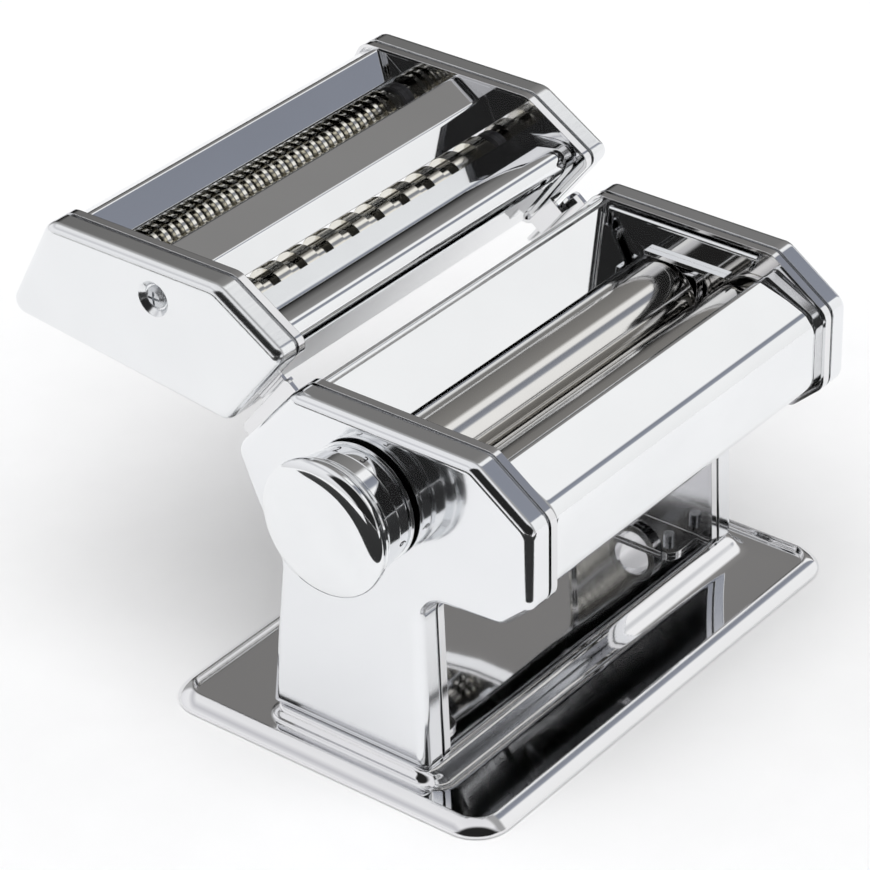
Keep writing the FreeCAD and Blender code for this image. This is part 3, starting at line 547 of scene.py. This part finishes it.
def flatFigure(text):
    # one extruded figure as points and faces, standing at the origin
    curve = bpy.data.curves.new("figure", "FONT")
    curve.body = text
    curve.align_x = "CENTER"
    curve.size = figureLook["height"] / figureLook["heightPerSize"]
    curve.extrude = figureLook["depth"]
    curve.resolution_u = figureLook["smoothness"]
    drawn = bpy.data.objects.new("figure", curve)
    bpy.context.scene.collection.objects.link(drawn)
    graph = bpy.context.evaluated_depsgraph_get()
    flat = bpy.data.meshes.new_from_object(drawn.evaluated_get(graph))
    points = np.zeros(len(flat.vertices) * 3)
    flat.vertices.foreach_get("co", points)
    faces = [list(polygon.vertices) for polygon in flat.polygons]
    bpy.data.objects.remove(drawn)
    bpy.data.meshes.remove(flat)
    return points.reshape(-1, 3), faces


def ringFigures():
    # wrapped on the band: angle = start + sideways / radius, and up runs along the axis
    centre = centreOf("number_ring")
    foot = (bandLow + bandHigh) / 2 - figureLook["height"] / 2
    verts, faces, count = [], [], 0
    for figure in range(figureLook["last"] + 1):
        points, figureFaces = flatFigure(str(figure))
        sideways, up, out = points.T
        turn = math.radians(figureLook["start"] + figureLook["step"] * figure) + sideways / bandRadius
        reach = bandRadius + out
        y, z = centre[1] - reach * np.sin(turn), centre[2] + reach * np.cos(turn)
        verts.append(np.stack([foot + up, y, z], axis=-1))
        faces += [[count + corner for corner in face] for face in figureFaces]
        count += len(points)
    piece = meshPiece("ringFigures", np.concatenate(verts), faces, materials["numberInk"])
    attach(piece, bodyOf["number_ring"])


ringFigures()
print("knob done")

baseLook = {
    "hem": (0.06 * mm, 0.8 * mm), "bevel": 4.9 * mm, "tiltOut": 52.0, "tiltIn": 24.0, "bevelRows": 14,
    "crest": 0.25 * mm, "lip": 0.9 * mm, "lipRows": 9, "floor": 3.2 * mm, "join": 0.1 * mm,
    "corner": 13.0 * mm, "leastCorner": 4.0 * mm, "cornerColumns": 18, "sheet": 1.4 * mm,
}
# the raised platform; front and back are counted from a line that lies knobBehind behind the knob's axis
platformLook = {
    "halfX": 86.9 * mm, "front": -32.0 * mm, "back": 30.0 * mm, "corner": 6.0 * mm, "knobBehind": 12.0 * mm,
    "foot": 1.2 * mm, "round": 1.6 * mm, "roundRows": 8, "ramp": 12.0 * mm, "rampIn": 1.6 * mm,
}


def baseRim():
    # (inset, height): a bevel whose tilt eases from tiltOut to tiltIn, then half a cosine down to the floor
    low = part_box("base_plate")[0][2]
    inset = np.linspace(0, baseLook["bevel"], baseLook["bevelRows"])
    tilt = np.radians(np.linspace(baseLook["tiltOut"], baseLook["tiltIn"], baseLook["bevelRows"]))
    rise = np.concatenate([[0], np.cumsum(np.diff(inset) * np.tan((tilt[1:] + tilt[:-1]) / 2))])
    bevel = np.stack([inset, rise], axis=-1) + baseLook["hem"]
    crestIn, crestHigh = bevel[-1]
    turn = np.linspace(0, np.pi, baseLook["lipRows"])
    lipIn = crestIn + baseLook["crest"] + baseLook["lip"] * turn / np.pi
    lipHigh = crestHigh - (low + crestHigh - baseLook["floor"]) * (1 - np.cos(turn)) / 2
    lip = np.stack([lipIn, lipHigh], axis=-1)
    return np.concatenate([[(0, 0)], bevel, lip, lip[-1:] + (baseLook["join"], 0)]) + (0, low)


def platformWall(top):
    # (outset, height): a quarter round up from the floor, then a quarter round over to the top
    foot, soft = platformLook["foot"], platformLook["round"]
    floor, join = baseLook["floor"], baseLook["join"]
    turn = np.linspace(0, np.pi / 2, platformLook["roundRows"])
    lower = np.stack([foot + soft * (1 - np.sin(turn)), floor + soft * (1 - np.cos(turn))], axis=-1)
    upper = np.stack([-soft * (1 - np.cos(turn)), top - soft + soft * np.sin(turn)], axis=-1)
    return np.concatenate([[(foot + soft + join, floor)], lower, upper, [(-soft - join, top)]])


def roundedOutlines(outlines):
    # each row is a rounded rectangle: corner point = corner centre + radius * (cos, sin)
    halfX, front, back, radius, sideHigh, frontHigh = (column[:, None] for column in outlines.T)
    turn = np.linspace(0, np.pi / 2, baseLook["cornerColumns"])[None, :]
    share = np.linspace(0, 1, baseLook["cornerColumns"])[None, :]
    # heights ease from the side's to the front's round each front corner
    corners = [(1, back - radius, 0 * share), (-1, back - radius, 0 * share)]
    corners += [(-1, front + radius, share), (1, front + radius, 1 - share)]
    quarters = []
    for quarter, (side, centreY, frontShare) in enumerate(corners):
        angle = quarter * np.pi / 2 + turn
        x = side * (halfX - radius) + radius * np.cos(angle)
        z = sideHigh * (1 - frontShare) + frontHigh * frontShare
        quarters.append(np.stack([x, centreY + radius * np.sin(angle), z], axis=-1))
    return np.concatenate(quarters, axis=1)


def baseSkin():
    # outlines run from the outer edge over the rim, across the floor and up the platform to its top
    low, high = np.array(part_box("base_plate"))
    centre = (low + high) / 2
    halfX, halfY = (high - low)[:2] / 2
    inset, rimHigh = baseRim().T
    corner = np.maximum(baseLook["corner"] - inset, baseLook["leastCorner"])
    rim = np.stack([halfX - inset, inset - halfY, halfY - inset, corner, rimHigh, rimHigh], axis=-1)
    outset, wallHigh = platformWall(high[2]).T
    # the front wall is a long easy ramp, the others are steep
    share = np.linspace(0, 1, len(outset))
    rampHigh = baseLook["floor"] + (high[2] - baseLook["floor"]) * share * share * (3 - 2 * share)
    line = centreOf("knob_front_disc")[1] + platformLook["knobBehind"] - centre[1]
    front = line + platformLook["front"] + platformLook["rampIn"] - platformLook["ramp"] * (1 - share)
    back = line + platformLook["back"] + outset
    sides = platformLook["halfX"] + outset
    wall = np.stack([sides, front, back, platformLook["corner"] + outset, wallHigh, rampHigh], axis=-1)
    verts = roundedOutlines(np.concatenate([rim, wall]))
    rows, columns = verts.shape[:2]
    top = (rows - 1) * columns
    faces = gridFaces(rows, columns) + [list(range(top, top + columns))]
    verts = verts.reshape(-1, 3) + (centre[0], centre[1], 0)
    piece = meshPiece("baseSkin", verts, faces, materials["baseChrome"], crease=60)
    thicken(piece, baseLook["sheet"])
    standIn(piece, "base_plate")


baseSkin()
print("base done")

# each path runs over the outer face, (y, z) in millimetres from the panel's front low corner
noseLook = {
    "node": "cutter_front_panel", "radii": (5.5 * mm, 2.5 * mm), "sheet": 1.2 * mm, "paths": 25,
    "path": ((22.66, 31.51), (-3.70, 31.61), (18.96, 0.60), (23.46, 0.0)),
}
frontLook = {
    "node": "front_cover", "radii": (1.8 * mm, 9.0 * mm, 8.0 * mm), "sheet": 1.2 * mm, "paths": 25,
    "path": ((24.2, 35.8), (21.0, 44.0), (0.0, 33.5), (0.0, 9.0), (9.5, 0.0)),
}


def unit(vector):
    return vector / np.linalg.norm(vector)


def roundedPath(points, radii, steps=14):
    # each corner becomes an arc: centre = corner + bisector * radius / sin(half angle)
    line = [points[:1]]
    for before, corner, after, radius in zip(points, points[1:], points[2:], radii):
        toA, toB = unit(before - corner), unit(after - corner)
        half = math.acos(float(toA @ toB)) / 2
        centre = corner + unit(toA + toB) * radius / math.sin(half)
        start = corner + toA * radius / math.tan(half) - centre
        stop = corner + toB * radius / math.tan(half) - centre
        sweep = math.pi - 2 * half
        share = np.linspace(0, 1, steps)[:, None]
        arc = (np.sin((1 - share) * sweep) * start + np.sin(share * sweep) * stop) / math.sin(sweep)
        line.append(centre + arc)
    return np.concatenate(line + [points[-1:]])


def bentSheet(name, look):
    # the rounded path, repeated at even steps across the panel's width
    low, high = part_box(look["node"])
    y, z = roundedPath(np.array(look["path"]) * mm, look["radii"]).T
    across = np.linspace(low[0], high[0], look["paths"])[:, None]
    verts = np.stack(np.broadcast_arrays(across, low[1] + y, low[2] + z), axis=-1).reshape(-1, 3)
    faces = gridFaces(len(across), len(y), loopColumns=False)
    piece = meshPiece(name, verts, faces, materials["sheetChrome"], crease=40)
    thicken(piece, look["sheet"])
    standIn(piece, look["node"])


bentSheet("roundNose", noseLook)
bentSheet("frontSkin", frontLook)
print("bent panels done")

paperLook = {
    "half": 15.0, "dark": grey(0.90), "light": grey(0.94), "fibre": (40.0, 4.0),
    "rough": 0.9, "specular": 0.1,
}


def paperFloor():
    half = paperLook["half"]
    verts = np.array([(-half, -half, 0), (half, -half, 0), (half, half, 0), (-half, half, 0)])
    shade = Shade("studioPaper")
    colour = shade.mixed(shade.noise(*paperLook["fibre"]), paperLook["dark"], paperLook["light"])
    rough, specular = paperLook["rough"], paperLook["specular"]
    paper = shade.finish({"Base Color": colour, "Roughness": rough, "Specular IOR Level": specular})
    meshPiece("studioFloor", verts, [(0, 1, 2, 3)], paper)


lookingAlong = (0.783, 0.622)  # the level direction that the camera looks in
# two stretches of cloth, each from one end to the other: distance towards the camera and half width
cardLook = {
    "near": ((0.225, 2.0), (0.6, 2.0)), "far": ((0.6, 0.3), (6.0, 3.5)), "height": 0.002,
    "dark": grey(0.01), "light": grey(0.03), "cloud": (500.0, 3.0), "rough": 0.90, "roughMore": 0.05,
}


def blackCard():
    # dark cloth on the camera's side, seen only in the plating
    away = np.array([*lookingAlong, 0.0])
    across = np.array([-away[1], away[0], 0.0])
    corners = []
    for (near, nearHalf), (far, farHalf) in (cardLook["near"], cardLook["far"]):
        corners += [(-near, -nearHalf), (-far, -farHalf), (-far, farHalf), (-near, nearHalf)]
    verts = np.array([away * a + across * b + (0, 0, cardLook["height"]) for a, b in corners])
    card = meshPiece("blackCard", verts, [(0, 1, 2, 3), (4, 5, 6, 7)], dullMaterial("blackCloth", cardLook))
    card.visible_camera = False
    card.visible_diffuse = False
    card.visible_shadow = False


paperFloor()
blackCard()

# for directions towards +x: round from the front (low numbers) over the top to the back
farSky = [
    (0.25, grey(0.95)), (0.396, grey(1.0)),
    (0.408, rgb(0.30, 0.32, 0.37)), (0.444, rgb(0.23, 0.245, 0.29)),
    (0.456, grey(1.0)), (0.489, grey(1.0)),
    (0.511, rgb(0.27, 0.264, 0.258)), (0.639, rgb(0.20, 0.196, 0.192)),
    (0.694, grey(0.012)), (0.75, rgb(0.005, 0.005, 0.006)),
]
# for the others: from the horizon up
nearSky = [
    (0.0, rgb(0.80, 0.80, 0.81)), (0.20, rgb(0.90, 0.90, 0.92)), (0.45, rgb(0.95, 0.95, 0.96)),
    (0.62, rgb(0.62, 0.62, 0.65)), (0.75, rgb(0.92, 0.92, 0.93)), (1.0, rgb(0.85, 0.85, 0.87)),
]
# gap is the grey between the two; behind is the dark behind the camera, narrower near the horizon
skyLook = {
    "strength": 1.0, "gap": grey(0.40), "behind": grey(0.02), "gapX": (0.10, 0.25), "farX": (0.40, 0.52),
    "behindAway": (-0.50, -0.38), "lowShift": 0.34, "lowRise": (0.05, 0.35),
}


def studioSky():
    # roundShare = 0.5 + angle from the top / a full turn
    world = bpy.data.worlds.new("studioWorld")
    shade = Shade("studioWorld", world)
    x, y, z = shade.axes()
    roundShare = shade.maths("ARCTAN2", y, z) / (2 * math.pi) + 0.5
    colour = shade.mixed(shade.smooth(x, *skyLook["gapX"]), shade.ramp(z, nearSky), skyLook["gap"])
    colour = shade.mixed(shade.smooth(x, *skyLook["farX"]), colour, shade.ramp(roundShare, farSky))
    away = x * lookingAlong[0] + y * lookingAlong[1]
    away = away + skyLook["lowShift"] * (1.0 - shade.smooth(z, *skyLook["lowRise"]))
    behind = 1.0 - shade.smooth(away, *skyLook["behindAway"])
    colour = shade.mixed(behind, colour, skyLook["behind"])
    sky = shade.node("ShaderNodeBackground", None, {"Color": colour, "Strength": skyLook["strength"]})
    shade.join(sky, shade.output.inputs[0])
    bpy.context.scene.world = world


sunLook = {"power": 2.25, "angle": 70.0, "from": (-0.5, -0.4, 1.0)}


def softSun():
    # not seen in the plating
    light = bpy.data.lights.new("softSun", "SUN")
    light.energy = sunLook["power"]
    light.angle = math.radians(sunLook["angle"])
    lamp = bpy.data.objects.new("softSun", light)
    bpy.context.scene.collection.objects.link(lamp)
    lamp.rotation_euler = Vector(sunLook["from"]).to_track_quat("Z", "Y").to_euler()
    lamp.visible_glossy = False


studioSky()
softSun()

cameraPlace = {
    "target": (0.01415, 0.00686, 0.060), "azimuth": -51.53, "elevation": 31.84, "roll": -1.18,
    "distance": 1.2651, "lens": 156.26, "sensor": 36.0,
}


def studioCamera():
    turn = math.radians(cameraPlace["azimuth"])
    rise = math.radians(cameraPlace["elevation"])
    back = Vector((math.sin(turn) * math.cos(rise), -math.cos(turn) * math.cos(rise), math.sin(rise)))
    data = bpy.data.cameras.new("studioCamera")
    data.lens = cameraPlace["lens"]
    data.sensor_width = cameraPlace["sensor"]
    camera = bpy.data.objects.new("studioCamera", data)
    bpy.context.scene.collection.objects.link(camera)
    facing = back.to_track_quat("Z", "Y").to_matrix().to_4x4()
    tilt = Matrix.Rotation(math.radians(cameraPlace["roll"]), 4, "Z")
    spot = Vector(cameraPlace["target"]) + back * cameraPlace["distance"]
    camera.matrix_world = Matrix.Translation(spot) @ facing @ tilt
    bpy.context.scene.camera = camera


studioCamera()
bpy.context.scene.view_settings.view_transform = "Standard"
print("studio done")
